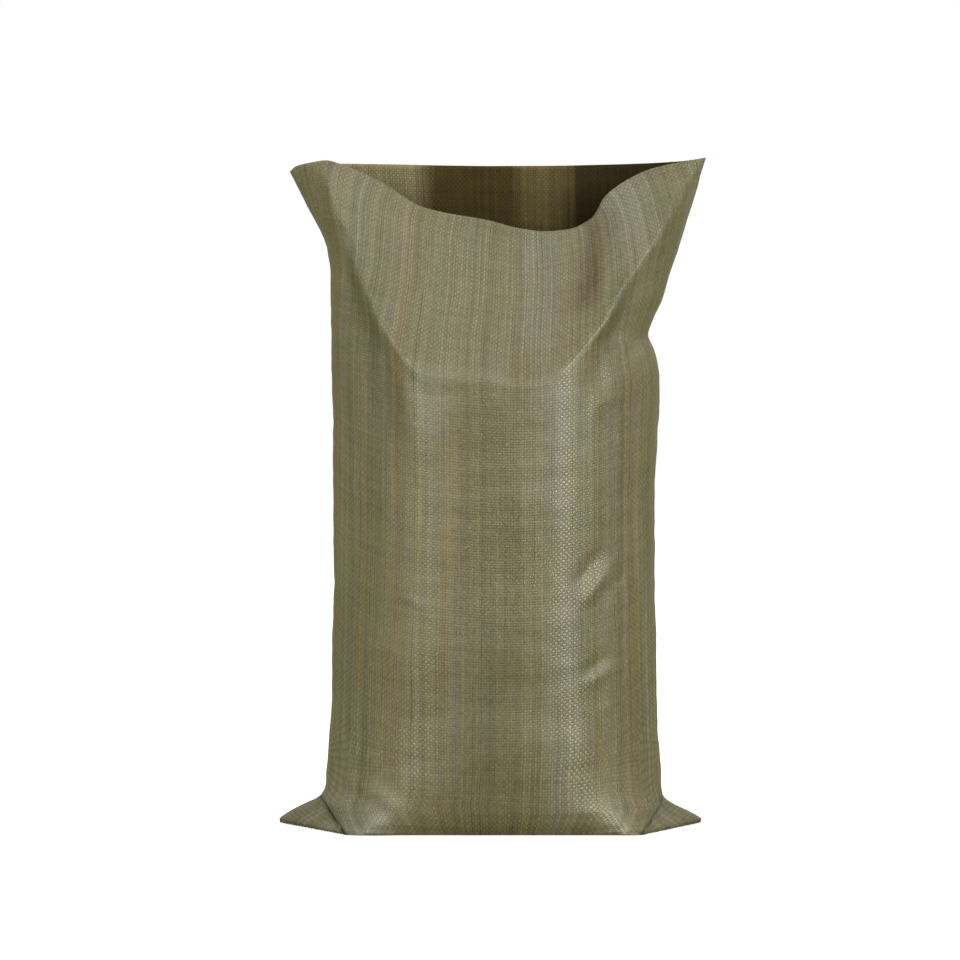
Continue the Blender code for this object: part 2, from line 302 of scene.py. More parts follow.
def rim_at(x, front):
    """The rim's height and, for the front one, its depth, over distances from the middle."""
    if front:
        height = smooth_through(FRONT_RIM_X, FRONT_RIM_Z, x / MM) * MM
        depth = smooth_through(FRONT_RIM_X, FRONT_RIM_Y, x / MM) * MM
        return height, depth
    return smooth_through(BACK_RIM_X, BACK_RIM_Z, x / MM) * MM, None


def slack_height(height, top, rim):
    """Heights above the sand are scaled, so that the last level follows the rim."""
    share = (height - SAND_TOP) / (top - SAND_TOP)
    return np.where(height < SAND_TOP, height, SAND_TOP + share * (rim - SAND_TOP))


TOP = LEVELS[-1].height * MM


def section(height, front):
    """One panel's line at this height, from the left fold to the right one."""
    size = level_at(height)
    across = -np.cos(np.linspace(0, np.pi, SECTION_POINTS))
    x = np.where(across < 0, across * size.left, across * size.right)
    bulge = (1 - np.abs(across) ** size.flatness) ** size.point
    if height < EAR_HEIGHT:
        return ear_section(size, height, front)
    if not front:
        rim, _ = rim_at(x, front)
        z = slack_height(height, TOP, rim)
        return np.column_stack([x, size.fold_y + size.back * bulge, z])
    rim, rim_y = rim_at(x, front)
    z = slack_height(height, TOP, rim)
    round_y = size.fold_y - size.front * bulge
    crease = smooth_through(CREASE_X, CREASE_Z, x / MM) * MM
    lean = np.clip((z - crease) / (rim - crease), -0.2, 1)
    flat_y = FRONT_OF_SAND + lean * (rim_y - FRONT_OF_SAND)
    blended = (round_y + flat_y + np.hypot(round_y - flat_y, CREASE_SOFTNESS)) / 2
    # The ends of the section stay on the side folds.
    further = np.maximum(round_y, flat_y)
    hold = 1 - np.abs(across) ** 12
    y = further + (blended - further) * hold
    y = np.where(np.abs(across) > AT_FOLD, round_y, y)
    share = smooth_step(SAND_TOP - CREASE_BEGINS, SAND_TOP - CREASE_FULL, height)
    y = round_y + (y - round_y) * share
    return np.column_stack([x, y, z])


def ear_section(size, height, front):
    """Near the floor a line runs straight from the fold into the tuck, and then around
    the body."""
    rise = height / EAR_HEIGHT
    foot_y = FRONT_TUCK_FOOT_Y if front else BACK_TUCK_FOOT_Y
    middle_y = size.fold_y - size.front if front else size.fold_y + size.back
    tuck_y = foot_y + (size.fold_y - foot_y) * rise
    if front:
        middle_y = min(middle_y, tuck_y - TUCK_MARGIN)
    else:
        middle_y = max(middle_y, tuck_y + TUCK_MARGIN)
    halves = []
    for side, reach in ((-1, size.left), (1, size.right)):
        tuck_x = TUCK_FOOT_X + (TUCK_TOP_X - TUCK_FOOT_X) * rise
        tuck_x = min(tuck_x, reach - TUCK_MARGIN)
        fold = np.array([[side * reach, size.fold_y]])
        turn = np.linspace(0, np.pi / 2, EAR_POINTS)[:, None]
        across = 1 - np.sin(turn)
        body_x = side * tuck_x * across
        body_y = tuck_y + (middle_y - tuck_y) * (1 - across**size.flatness) ** size.point
        halves.append(np.vstack([fold, np.hstack([body_x, body_y])]))
    line = np.vstack([halves[0], halves[1][::-1][1:]])
    if front:
        for place, width, bulge in FOOT_BULGES:
            line[:, 1] -= bulge * (1 - rise) * np.exp(-(((line[:, 0] - place) / width) ** 2))
    return np.column_stack([line, np.full(len(line), height)])


def level_line(height, front):
    """One level of a panel's form, with a point for each column."""
    line = section(height, front)
    if height >= EAR_HEIGHT:
        return resampled(line, PANEL_COLUMNS + 1)
    steps = np.linalg.norm(np.diff(line, axis=0), axis=1)
    along = np.concatenate([[0], np.cumsum(steps)])
    flap = FLAP_COLUMNS * (1 - height / EAR_HEIGHT)
    tucks = [0, flap, PANEL_COLUMNS - flap, PANEL_COLUMNS]
    lengths = [0, along[1], along[-2], along[-1]]
    wanted = np.interp(np.arange(PANEL_COLUMNS + 1), tucks, lengths)
    return np.column_stack([np.interp(wanted, along, line[:, k]) for k in range(3)])


def panel_form(front):
    """The form of one panel as a grid: levels from the seam up, columns from left to right."""
    columns = PANEL_COLUMNS + 1
    foot = level_line(FOOT_Z, front)
    seam_x = np.linspace(foot[0, 0], foot[-1, 0], columns)
    seam = np.column_stack([seam_x, np.full(columns, SEAM_Y), np.full(columns, SEAM_Z)])
    lines = [seam + (foot - seam) * share for share in np.linspace(0, 0.95, BASE_LINES)]
    heights = np.concatenate([
        np.linspace(FOOT_Z, EAR_HEIGHT, EAR_LINES)[:-1],
        np.linspace(EAR_HEIGHT, SAND_TOP, BODY_LINES)[:-1],
        np.linspace(SAND_TOP, TOP, SLACK_LINES),
    ])
    lines += [level_line(height, front) for height in heights]
    form = np.array(lines)
    form = np.array([resampled(form[:, i], ROWS) for i in range(columns)]).transpose(1, 0, 2)
    # In each column the point nearest to the foot's edge goes onto it, so that the cloth
    # turns up from the floor there.
    nearest = np.linalg.norm(form - foot, axis=2).argmin(0)
    form[nearest, np.arange(columns)] = foot
    return form


def surface_tree(grid):
    """The grid's surface, to find the nearest place on it."""
    rows, columns = grid.shape[:2]
    index = np.arange(rows * columns).reshape(rows, columns)
    quads = np.stack([index[:-1, :-1], index[:-1, 1:], index[1:, 1:], index[1:, :-1]], -1)
    return BVHTree.FromPolygons(grid.reshape(-1, 3).tolist(), quads.reshape(-1, 4).tolist())


def pull(first, second, rest, strength=1.0, shortening=0.0):
    """Moves two sets of points so that each pair has its rest length. Where a pair is too
    short, a share of that is let be."""
    gap = second - first
    length = np.linalg.norm(gap, axis=-1, keepdims=True)
    error = length - rest
    error = np.where(error < 0, error * (1 - shortening), error)
    move = gap * (error / (length + TINY)) * (strength / 2)
    first += move
    second -= move


def onto_line(points, line):
    """The nearest place on the line to each point."""
    start, way = line[:-1], np.diff(line, axis=0)
    share = np.einsum("psk,sk->ps", points[:, None] - start, way) / (way**2).sum(1)
    near = start + np.clip(share, 0, 1)[..., None] * way
    best = ((near - points[:, None]) ** 2).sum(2).argmin(1)
    return near[np.arange(len(points)), best]


def relax(grid, form, passes, project_every):
    """Slides the cloth over its form until its threads have their own lengths."""
    tree = surface_tree(form)
    rim = form[-1]
    rows, columns = grid.shape[:2]
    across = PANEL / (columns - 1)
    along = np.array([line_length(grid[:, i]) for i in range(columns)]) / (rows - 1)
    padded = np.pad(along, SMOOTHED_COLUMNS // 2, mode="edge")
    window = np.ones(SMOOTHED_COLUMNS) / SMOOTHED_COLUMNS
    along = np.convolve(padded, window, mode="valid")[None, :, None]
    # The ears are folded out of cloth that runs aslant, so they keep their width.
    width = np.linalg.norm(np.diff(grid, axis=1), axis=2)[..., None]
    is_ear = grid[:, 1:, 2:] < EAR_HEIGHT
    across = np.where(is_ear, np.maximum(width, across), across)
    diagonal = np.sqrt(across[:-1] ** 2 + along[:, 1:] ** 2)
    edge = grid.copy()
    for number in range(passes):
        for start in (0, 1):
            pull(grid[:, start:-1:2], grid[:, start + 1 :: 2], across[:, start::2])
            pull(grid[start:-1:2], grid[start + 1 :: 2], along, shortening=SHORTENING)
        for start in (0, 1):
            slant = diagonal[start::2]
            pull(grid[start:-1:2, :-1], grid[start + 1 :: 2, 1:], slant, SHEAR_STRENGTH)
            pull(grid[start:-1:2, 1:], grid[start + 1 :: 2, :-1], slant, SHEAR_STRENGTH)
        grid[0] = edge[0]
        grid[:, 0], grid[:, -1] = edge[:, 0], edge[:, -1]
        grid[-1, 1:-1] = onto_line(grid[-1, 1:-1], rim)
        if number % project_every == project_every - 1:
            flat = grid[1:-1, 1:-1].reshape(-1, 3)
            near = np.array([tree.find_nearest(Vector(point))[0] for point in flat])
            grid[1:-1, 1:-1] = near.reshape(rows - 2, columns - 2, 3)
    return grid


def finer(grid, rows, columns):
    """The grid with more rows and columns."""
    up = np.array([resampled_even(grid[:, i], rows) for i in range(grid.shape[1])])
    up = up.transpose(1, 0, 2)
    return np.array([resampled_even(line, columns) for line in up])


def resampled_even(line, count):
    """The line as count points, evenly spaced by the number of its own points."""
    wanted = np.linspace(0, len(line) - 1, count)
    base = np.arange(len(line))
    return np.column_stack([np.interp(wanted, base, line[:, k]) for k in range(3)])


def panel_cloth(front):
    """One panel's cloth, relaxed on its form."""
    form = panel_form(front)
    cloth = form[::COARSE, ::COARSE].copy()
    cloth = relax(cloth, form, COARSE_PASSES, COARSE_LAID)
    cloth = finer(cloth, ROWS, PANEL_COLUMNS + 1)
    cloth[0], cloth[:, 0], cloth[:, -1] = form[0], form[:, 0], form[:, -1]
    cloth = relax(cloth, form, FINE_PASSES, FINE_LAID)
    # Near the floor the creased ears and the foot's edge stay as they are formed.
    above = smooth_step(EAR_HEIGHT, 3 * EAR_HEIGHT, form[..., 2:])
    return form + (cloth - form) * above


def whole_cloth(front, back):
    """Both panels as one tube, around from the left fold by the front."""
    return np.concatenate([front, back[:, ::-1][:, 1:-1]], axis=1)


def grid_mesh(name, grid, across, upward, closed=True):
    """A mesh from rows of points, each row a loop if closed. across and upward are the
    lengths of the cloth's own threads at the columns and rows, for the weave."""
    rows, columns = grid.shape[:2]
    index = np.arange(rows * columns).reshape(rows, columns)
    cells = columns if closed else columns - 1
    beside = np.roll(index, -1, axis=1)[:, :cells]
    index = index[:, :cells]
    quads = np.stack([index[:-1], beside[:-1], beside[1:], index[1:]], -1).reshape(-1, 4)
    mesh = bpy.data.meshes.new(name)
    mesh.from_pydata(grid.reshape(-1, 3).tolist(), [], quads.tolist())
    column = np.arange(cells)[None, :, None] + np.array([0, 1, 1, 0])
    row = np.arange(rows - 1)[:, None, None] + np.array([0, 0, 1, 1])
    u = np.broadcast_to(across[column] / TAPE, (rows - 1, cells, 4))
    v = np.broadcast_to(upward[row] / TAPE, (rows - 1, cells, 4))
    uv = mesh.uv_layers.new(name="threads")
    uv.data.foreach_set("uv", np.stack([u, v], -1).reshape(-1).astype(np.float32))
    mesh.shade_smooth()
    return mesh


def add_object(name, mesh):
    """Puts the mesh into the scene."""
    obj = bpy.data.objects.new(name, mesh)
    bpy.context.scene.collection.objects.link(obj)
    return obj


def normals_of(tube):
    """Outward normals of the tube's grid."""
    around = np.roll(tube, -1, axis=1) - np.roll(tube, 1, axis=1)
    upward = np.gradient(tube, axis=0)
    normals = np.cross(around, upward)
    return normals / (np.linalg.norm(normals, axis=2, keepdims=True) + 1e-12)


def fold_shape(fold, x, z):
    """How far this fold moves each point outwards, over its place seen from the front."""
    points = np.array(fold.points, float) * MM
    nearest = np.full(x.shape, 1e9)
    side = np.zeros(x.shape)
    place = np.zeros(x.shape)
    for number, (start, end) in enumerate(zip(points, points[1:])):
        way = end - start
        share = ((x - start[0]) * way[0] + (z - start[1]) * way[1]) / (way @ way)
        share = np.clip(share, 0, 1)
        dx = x - start[0] - share * way[0]
        dz = z - start[1] - share * way[1]
        distance = np.hypot(dx, dz)
        closer = distance < nearest
        nearest = np.where(closer, distance, nearest)
        side = np.where(closer, np.sign(dz * abs(way[0]) - dx * way[1] * np.sign(way[0])), side)
        place = np.where(closer, number + share, place)
    place = np.clip(place / (len(points) - 1), 0, 1)
    taper = np.cos(np.pi / 2 * place) if fold.open else np.sin(np.pi * place)
    near = nearest / (fold.width * MM)
    profile = np.exp(-near) if fold.sharp else np.exp(-(near**2))
    if fold.skewed:
        profile = 1.6 * side * near * profile
    return fold.height * MM * profile * np.clip(taper, 0, 1) ** 0.6


def crumple(tube):
    """Small unevenness of a filled sack, in metres outwards."""
    flat = tube.reshape(-1, 3).tolist()
    broad = [noise.noise(Vector(point) * 14) for point in flat]
    fine = [noise.noise(Vector((p[0] * 26, p[1] * 26, p[2] * 60 + 7))) for p in flat]
    ripple = [noise.noise(Vector((p[0] * 30, p[1] * 30, p[2] * 150 + 3))) for p in flat]
    uneven = np.array(broad) * 1.8 + np.array(fine) * 0.6 + np.array(ripple) * 0.25
    return uneven.reshape(tube.shape[:2]) * MM


def add_folds(tube):
    """The cloth with its folds, each on its own panel, and its small unevenness."""
    normals = normals_of(tube)
    x, z = tube[..., 0], tube[..., 2]
    is_front = np.zeros(tube.shape[1])
    is_front[1:PANEL_COLUMNS] = 1
    is_back = np.zeros(tube.shape[1])
    is_back[PANEL_COLUMNS + 1 :] = 1
    moved = np.zeros(x.shape)
    for fold in FRONT_FOLDS:
        moved += fold_shape(fold, x, z) * is_front
    for fold in BACK_FOLDS:
        moved += fold_shape(fold, x, z) * is_back
    moved += crumple(tube) * smooth_step(15 * MM, 60 * MM, z)
    return tube + normals * moved[..., None]


def make_cloth(tube):
    """The tube as a mesh with the cloth's thickness, its inner side with its own material,
    painted darker as shade.
    """
    across = np.linspace(0, 2 * PANEL, tube.shape[1] + 1)
    upward = np.linspace(0, CUT_LENGTH - HEM, tube.shape[0])
    cloth = add_object("sack_cloth", grid_mesh("sack_cloth", tube, across, upward))
    shell = cloth.modifiers.new("Thickness", "SOLIDIFY")
    shell.thickness = CLOTH
    shell.offset = -1
    shell.material_offset = 1
    return cloth


def make_hem():
    """The folded end of the tube, two more layers flat under the base along the seam."""
    x = np.linspace(HEM_LEFT, HEM_RIGHT, HEM_STEPS)
    turn = np.linspace(0, 2 * np.pi, HEM_SIDES, endpoint=False)
    half = (HEM - HEM_THICKNESS) / 2
    y = np.clip(HEM * np.cos(turn), -half, half) + HEM_THICKNESS / 2 * np.cos(turn)
    z = HEM_THICKNESS / 2 * np.clip(3 * np.sin(turn), -1, 1)
    wave = np.array([noise.noise(Vector((value * 22, 3, 0))) for value in x])
    grid = np.empty((HEM_STEPS, HEM_SIDES, 3))
    grid[..., 0] = x[:, None]
    grid[..., 1] = SEAM_Y + y + 0.8 * MM * wave[:, None]
    grid[..., 2] = HEM_Z + z + 0.15 * MM * wave[:, None]
    steps = np.linalg.norm(np.diff(np.vstack([grid[0], grid[0][:1]]), axis=0), axis=1)
    around = np.concatenate([[0], np.cumsum(steps)])
    mesh = grid_mesh("folded_hem", grid, around, x - x[0])
    bm = bmesh.new()
    bm.from_mesh(mesh)
    bmesh.ops.holes_fill(bm, edges=bm.edges, sides=HEM_SIDES)
    bmesh.ops.recalc_face_normals(bm, faces=bm.faces)
    bm.to_mesh(mesh)
    bm.free()
    return add_object("folded_hem", mesh)


def tube_along(points, radius, sides):
    """Rings of points around a line."""
    ahead = np.gradient(points, axis=0)
    ahead /= np.linalg.norm(ahead, axis=1, keepdims=True)
    side = np.cross(ahead, [0, 0, 1])
    side /= np.linalg.norm(side, axis=1, keepdims=True)
    up = np.cross(side, ahead)
    turn = (np.arange(sides) * 2 * np.pi / sides)[None, :, None]
    ring = side[:, None] * np.cos(turn) + up[:, None] * np.sin(turn)
    return points[:, None] + radius * ring


def make_stitches():
    """Chain stitch through the folded end, seen from below: each loop holds the next."""
    count = int((STITCHED_RIGHT - STITCHED_LEFT) / STITCH)
    t = np.linspace(0, 1, LOOP_POINTS)
    verts, faces = [], []
    for number in range(count):
        start = STITCHED_LEFT + number * STITCH
        there = np.where(t < 0.5, 2 * t, 2 - 2 * t)
        x = start + there * STITCH * LOOP_REACH
        y = SEAM_Y + LOOP_WIDTH / 2 * np.sin(2 * np.pi * t)
        z = STITCH_Z + THREAD * 0.8 * np.where(there > 0.8, 1, 0) * (there - 0.8) * 4
        line = np.column_stack([x, y, z])
        rings = tube_along(line, THREAD / 2, THREAD_SIDES)
        base = len(verts)
        verts += rings.reshape(-1, 3).tolist()
        sides = THREAD_SIDES
        for i in range(len(rings) - 1):
            for k in range(sides):
                j = (k + 1) % sides
                low, high = base + i * sides, base + (i + 1) * sides
                faces.append((low + k, low + j, high + j, high + k))
        last = base + (len(rings) - 1) * sides
        faces.append(tuple(base + k for k in range(sides))[::-1])
        faces.append(tuple(last + k for k in range(sides)))
    mesh = bpy.data.meshes.new("chain_stitches")
    mesh.from_pydata(verts, [], faces)
    mesh.shade_smooth()
    return add_object("chain_stitches", mesh)


def points_at_heights(column, heights):
    """The places where a rising line passes these heights."""
    rising = np.maximum.accumulate(column[:, 2])
    return np.column_stack([
        np.interp(heights, rising, column[:, 0]),
        np.interp(heights, rising, column[:, 1]),
        heights,
    ])


def make_sand(tube):
    """Sand that fills the cloth up to its level, heaped a little in the middle."""
    normals = normals_of(tube)
    inner = (tube - normals * SAND_INSET)[:, ::2]
    heights = np.linspace(SAND_ABOVE_EARS, SAND_EDGE, SAND_LINES)
    walls = [points_at_heights(inner[:, i], heights) for i in range(inner.shape[1])]
    walls = np.stack(walls, axis=1)
    foot_middle = walls[0].mean(axis=0)
    foot = foot_middle + (walls[0] - foot_middle) * SAND_FOOT_SHARE
    foot[:, 2] = SAND_FOOT_Z
    edge = walls[-1]
    middle = edge.mean(axis=0)
    rings = []
    for share in np.linspace(1, 0.015, SAND_RINGS)[1:]:
        ring = middle + (edge - middle) * share
        level = edge[:, 2] * share + middle[2] * (1 - share)
        mound = SAND_MOUND * (1 - share**2)
        rough = [
            3.2 * noise.noise(Vector((p[0] * 18, p[1] * 18, 1)))
            + 1.1 * noise.noise(Vector((p[0] * 70, p[1] * 70, 5)))
            + 0.45 * noise.noise(Vector((p[0] * 260, p[1] * 260, 9)))
            for p in ring.tolist()
        ]
        ring[:, 2] = level + mound + np.array(rough) * MM * min(1, 12 * (1 - share))
        rings.append(ring)
    grid = np.concatenate([foot[None], walls, np.array(rings)])
    columns = grid.shape[1]
    mesh = grid_mesh("sand_bed", grid, np.zeros(columns + 1), np.zeros(len(grid)))
    bm = bmesh.new()
    bm.from_mesh(mesh)
    bmesh.ops.holes_fill(bm, edges=bm.edges, sides=columns)
    bm.to_mesh(mesh)
    bm.free()
    return add_object("sand_bed", mesh)


class Graph:
    """Short ways to add nodes to a material."""

    def __init__(self, material):
        self.tree = material.node_tree

    def add(self, kind, inputs=None, output=0, **settings):
        node = self.tree.nodes.new(kind)
        for name, value in settings.items():
            setattr(node, name, value)
        for key, value in (inputs or {}).items():
            self.feed(node.inputs[key], value)
        return node.outputs[output]

    def feed(self, socket, value):
        if isinstance(value, bpy.types.NodeSocket):
            self.tree.links.new(value, socket)
        else:
            socket.default_value = value

    def math(self, operation, first, second=0.0, third=0.0):
        return self.add("ShaderNodeMath", {0: first, 1: second, 2: third}, operation=operation)

    def mix(self, share, first, second):
        """Between two colours."""
        settings = dict(data_type="RGBA")
        return self.add("ShaderNodeMix", {0: share, 6: first, 7: second}, 2, **settings)

    def blend(self, share, first, second):
        """Between two numbers."""
        return self.add("ShaderNodeMix", {0: share, 2: first, 3: second}, 0)

    def noise(self, vector, scale, detail=2.0, roughness=0.5):
        inputs = {"Vector": vector, "Scale": scale, "Detail": detail, "Roughness": roughness}
        return self.add("ShaderNodeTexNoise", inputs)

    def combine(self, x=0.0, y=0.0, z=0.0):
        return self.add("ShaderNodeCombineXYZ", {0: x, 1: y, 2: z})

    def split(self, vector):
        """The three numbers of a vector."""
        node = self.tree.nodes.new("ShaderNodeSeparateXYZ")
        self.feed(node.inputs[0], vector)
        return node.outputs

    def white_noise(self, vector):
        return self.add("ShaderNodeTexWhiteNoise", {"Vector": vector}, noise_dimensions="3D")

    def range(self, value, low, high, first, last):
        """first where the value is low, last where it is high."""
        return self.add("ShaderNodeMapRange", {0: value, 1: low, 2: high, 3: first, 4: last})

    def above(self, value, edge, softness, share=1.0):
        """The share where the value is above a soft edge, and 0 below it."""
        return self.range(value, edge - softness, edge + softness, 0.0, share)

    def below(self, value, edge, softness):
        """1 where the value is below a soft edge, and 0 above it."""
        return self.range(value, edge - softness, edge + softness, 1.0, 0.0)

    def scaled(self, value, width, middle):
        """A number from 0 to 1 spread over a width about a middle."""
        return self.math("MULTIPLY_ADD", value, width, middle - width / 2)


# Runs of warp tapes painted darker or paler, as painted shade and painted light: the first and
# last tape, counted around the tube from the left fold by the front, the first and last weft
# tape, counted from the seam, how many tapes it leans aside over one weft tape, the colour and
# its share
Stretch = namedtuple("Stretch", "first last low high lean colour share")
STRETCH_SIDES = 4.0  # how many tapes its soft sides reach
STRETCH_ENDS = 6.0

# On the outside, in order: painted shade down the middle of the front, painted highlights below
# the left and the right corner of the slack front, painted shade in the hollows beside the left
# and the right ridge, painted light on the slack front in two runs, a painted fold shadow on its
# right, and painted light beside that.
OUTSIDE_PAINTED_SHADING = [
    Stretch(76, 100, 40, 216, 0.0, (0.137, 0.119, 0.046, 1), 0.55),
    Stretch(59, 71, 198, 224, -0.2, (0.300, 0.280, 0.200, 1), 0.35),
    Stretch(108, 124, 192, 222, 0.0, (0.300, 0.280, 0.200, 1), 0.35),
    Stretch(49, 58, 196, 258, -0.42, (0.105, 0.090, 0.035, 1), 0.6),
    Stretch(125, 134, 218, 256, 0.3, (0.120, 0.102, 0.042, 1), 0.45),
    Stretch(62, 90, 224, 310, 0.0, (0.222, 0.207, 0.127, 1), 0.5),
    Stretch(95, 114, 236, 310, 0.0, (0.238, 0.221, 0.155, 1), 0.5),
    Stretch(116, 127, 250, 310, 0.16, (0.119, 0.089, 0.046, 1), 0.8),
    Stretch(130, 152, 264, 310, 0.2, (0.222, 0.207, 0.148, 1), 0.4),
]
# On the inside: painted shade and painted light on the back panel's inner face, seen in the
# mouth: a dark run, a paler one, a dark one and a pale one.
INSIDE_PAINTED_SHADING = [
    Stretch(186, 238, 0, 310, 0.0, (0.020, 0.010, 0.001, 1), 0.92),
    Stretch(241, 262, 0, 310, 0.0, (0.210, 0.166, 0.062, 1), 0.80),
    Stretch(264, 301, 0, 310, 0.0, (0.055, 0.034, 0.004, 1), 0.80),
    Stretch(303, 350, 0, 310, 0.0, (0.350, 0.298, 0.155, 1), 0.92),
]

# The colours and the gloss of one side of the cloth. The inner side's colours are darker and
# browner: painted shade within the sack.
Tones = namedtuple("Tones", "olive brown grey_green dust soil gloss roughness shine stretches")

OUTSIDE = Tones(
    olive=(0.195, 0.169, 0.066, 1),
    brown=(0.188, 0.145, 0.066, 1),
    grey_green=(0.200, 0.189, 0.090, 1),
    dust=(0.247, 0.225, 0.164, 1),
    soil=(0.118, 0.101, 0.055, 1),
    gloss=(1, 0.96, 0.85, 1),
    roughness=0.38,
    shine=0.014,
    stretches=OUTSIDE_PAINTED_SHADING,
)
# Darker and browner than the outside: painted shade within the sack.
INSIDE_SHADED = Tones(
    olive=(0.088, 0.062, 0.016, 1),
    brown=(0.073, 0.044, 0.011, 1),
    grey_green=(0.102, 0.077, 0.023, 1),
    dust=(0.098, 0.077, 0.032, 1),
    soil=(0.055, 0.038, 0.014, 1),
    gloss=(1, 0.88, 0.50, 1),
    roughness=0.62,
    shine=0.007,
    stretches=INSIDE_PAINTED_SHADING,
)

# The painted shadow line in each tuck of the ears: how far up the tube it starts at the side
# fold, how fast it rises from there on the front and on the back, and where it ends, in tapes
TUCK_START = 24.0
TUCK_SLOPE_FRONT = 0.69
TUCK_SLOPE_BACK = 0.28
TUCK_END = 31.0
TUCK_SHADOW_COLOUR = (0.020, 0.014, 0.005, 1)
TAPES_ACROSS = PANEL / TAPE  # on one panel

# What the parts of the woven material share. u and v count the warp and the weft tapes,
# wandering a little, and true_v counts the weft without that.
Weave = namedtuple("Weave", "threads u v true_v edge_u edge_v warp_on_top height band")


def weave_pattern(g):
    """Which tape is on top at each place, and how high it stands there."""
    threads = g.add("ShaderNodeUVMap", uv_map="threads")
    true_u, true_v = g.split(threads)[:2]
    wander = g.math("SUBTRACT", g.noise(threads, 0.11), 0.5)
    u = g.math("ADD", true_u, g.math("MULTIPLY", wander, 0.9))
    v = g.math("ADD", true_v, g.math("MULTIPLY", wander, 0.3))
    wave_u = g.math("SINE", g.math("MULTIPLY", u, np.pi))
    wave_v = g.math("SINE", g.math("MULTIPLY", v, np.pi))
    edge_u = g.math("ABSOLUTE", wave_u)
    edge_v = g.math("ABSOLUTE", wave_v)
    warp_on_top = g.math("GREATER_THAN", g.math("MULTIPLY", wave_u, wave_v), 0)
    flat_u, round_u = g.math("POWER", edge_u, 0.18), g.math("POWER", edge_u, 0.9)
    flat_v, round_v = g.math("POWER", edge_v, 0.3), g.math("POWER", edge_v, 0.9)
    warp_height = g.math("MULTIPLY", flat_u, round_v)
    weft_height = g.math("MULTIPLY", round_u, flat_v)
    height = g.blend(warp_on_top, weft_height, warp_height)
    slow_v = g.math("MULTIPLY", v, 0.006)
    band = g.noise(g.combine(u, slow_v, 0), 0.16, 3.0, 0.65)
    return Weave(threads, u, v, true_v, edge_u, edge_v, warp_on_top, height, band)


def with_painted_shading(g, weave, colour, stretches):
    """The colour with its runs of painted shade and painted light, whose edges are ragged."""
    u, v = weave.u, weave.v
    streaks = g.combine(u, g.math("MULTIPLY", v, 0.04), 3.0)
    ragged = g.math("ADD", u, g.scaled(g.noise(streaks, 0.5), 8.0, 0.0))
    for stretch in stretches:
        leant = g.math("MULTIPLY_ADD", v, -stretch.lean, stretch.lean * stretch.low)
        place = g.math("ADD", ragged, leant)
        share = g.above(place, stretch.first, STRETCH_SIDES, stretch.share)
        share = g.math("MULTIPLY", share, g.below(place, stretch.last, STRETCH_SIDES))
        share = g.math("MULTIPLY", share, g.below(v, stretch.high, STRETCH_ENDS))
        share = g.math("MULTIPLY", share, g.above(v, stretch.low, STRETCH_ENDS))
        colour = g.mix(share, colour, stretch.colour)
    return colour


def tuck_shadow_lines(g, weave):
    """How much of the painted shadow line in the tucks is at each place."""
    from_fold = g.math("PINGPONG", g.split(weave.threads)[0], TAPES_ACROSS / 2)
    on_back = (TAPES_ACROSS - 2.0, TAPES_ACROSS + 2.0)
    slope = g.range(weave.u, *on_back, TUCK_SLOPE_FRONT, TUCK_SLOPE_BACK)
    line = g.math("MULTIPLY_ADD", from_fold, slope, TUCK_START)
    off_line = g.math("ABSOLUTE", g.math("SUBTRACT", weave.true_v, line))
    near = g.range(off_line, 0.4, 2.2, 0.9, 0.0)
    near = g.math("MULTIPLY", near, g.range(from_fold, TUCK_END, TUCK_END + 3.0, 1.0, 0.0))
    uneven = g.range(g.noise(weave.threads, 0.13, 1.0), 0.35, 0.55, 0.25, 1.0)
    return g.math("MULTIPLY", near, uneven)


def cloth_colour(g, weave, tones):
    """The colour of the cloth, dusty in streaks, darker towards the floor, with painted light
    where it faces up, painted shadow in the tucks and runs of painted light and shade, but
    without single tapes.
    """
    u, v = weave.u, weave.v
    slow_v = g.math("MULTIPLY", v, 0.006)
    tint = g.noise(g.combine(u, slow_v, 9), 0.075, 2.0, 0.6)
    colour = g.mix(g.range(tint, 0.38, 0.62, 0.0, 1.0), tones.olive, tones.grey_green)
    colour = g.mix(g.range(weave.band, 0.45, 0.75, 0.0, 0.8), colour, tones.brown)
    # Darker, in patches, towards the floor.
    low = g.range(weave.true_v, 24.0, 56.0, 0.9, 0.0)
    darker_low = g.math("MULTIPLY", low, g.noise(g.combine(u, v, 7), 0.06, 4.0, 0.6))
    colour = g.mix(darker_low, colour, tones.soil)
    rubbed = g.combine(u, g.math("MULTIPLY", v, 0.12), 11)
    worn = g.range(g.noise(rubbed, 0.10, 2.0, 0.6), 0.48, 0.68, 0.0, 0.4)
    colour = g.mix(worn, colour, tones.dust)
    # Paler where the cloth faces up: painted light from above, also dusty there.
    facing_up = g.split(g.add("ShaderNodeNewGeometry", output=1))[2]
    colour = g.mix(g.range(facing_up, 0.08, 0.36, 0.0, 0.25), colour, tones.dust)
    # Painted shadow in the ears' tucks.
    colour = g.mix(tuck_shadow_lines(g, weave), colour, TUCK_SHADOW_COLOUR)
    return with_painted_shading(g, weave, colour, tones.stretches)


